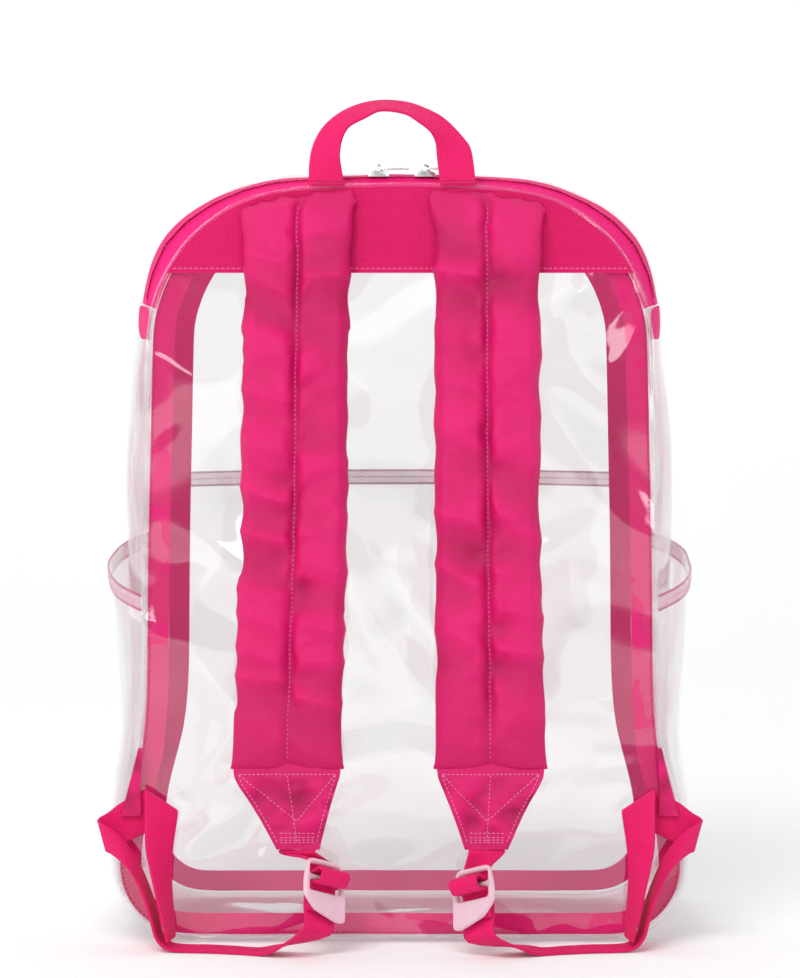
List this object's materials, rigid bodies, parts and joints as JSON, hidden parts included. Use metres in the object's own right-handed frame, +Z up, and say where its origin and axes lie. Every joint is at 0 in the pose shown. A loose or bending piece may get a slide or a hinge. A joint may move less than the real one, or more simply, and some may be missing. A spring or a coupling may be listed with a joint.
{
  "type": "clear stadium backpack",
  "caption": "Clear vinyl backpack with pink padded shoulder straps, a pink yoke and grab handle, a zip over the top, and clear front and side pockets.",
  "frame": {"origin": "Middle of the bounding box's footprint, on the floor that the bag stands on.", "axes": "+Z up through the bag's height, +Y from the shoulder straps to the front pocket, +X to the right as the straps are faced."},
  "size_m": [0.34, 0.2181, 0.4744],
  "materials": {
    "clear_vinyl": "gloss",
    "pink_fabric": "matte",
    "pink_webbing": "matte",
    "frosted_plastic": "satin",
    "zip_coil": "satin",
    "zip_metal": "polished"
  },
  "bodies": {
    "bag": {"back_panel": "clear_vinyl", "front_panel": "clear_vinyl", "lower_gusset": "clear_vinyl", "zip_tape_back": "pink_fabric", "zip_coil": "zip_coil", "zip_tape_front": "pink_fabric", "top_gusset": "clear_vinyl", "zip_end_left": "pink_fabric", "zip_end_right": "pink_fabric", "back_binding": "pink_fabric", "front_binding": "pink_fabric", "yoke": "pink_fabric", "shoulder_strap_left": "pink_fabric", "shoulder_strap_right": "pink_fabric", "strap_tab_left": "pink_fabric", "strap_tab_right": "pink_fabric", "ladder_lock_left": "frosted_plastic", "ladder_lock_right": "frosted_plastic", "strap_stub_left": "pink_webbing", "strap_stub_right": "pink_webbing", "webbing_left": "pink_webbing", "webbing_right": "pink_webbing", "corner_tab_left": "pink_fabric", "corner_tab_right": "pink_fabric", "grab_handle": "pink_webbing", "side_pocket_left": "clear_vinyl", "side_pocket_right": "clear_vinyl", "side_pocket_hem_left": "clear_vinyl", "side_pocket_hem_right": "clear_vinyl", "front_pocket": "clear_vinyl", "front_pocket_hem": "clear_vinyl", "zip_slider_left": "zip_metal", "zip_slider_right": "zip_metal"},
    "pull_left": {"zip_pull_left": "zip_metal"},
    "pull_right": {"zip_pull_right": "zip_metal"}
  },
  "joints": [
    {"name": "pull_left_hinge", "type": "hinge", "parent": "bag", "child": "pull_left", "pos_m": [-0.012, -0.03533, 0.43583], "axis": [0, -1, 0], "range_deg": [0, 150]},
    {"name": "pull_right_hinge", "type": "hinge", "parent": "bag", "child": "pull_right", "pos_m": [0.014, -0.03533, 0.43583], "axis": [0, -1, 0], "range_deg": [0, 150]}
  ]
}
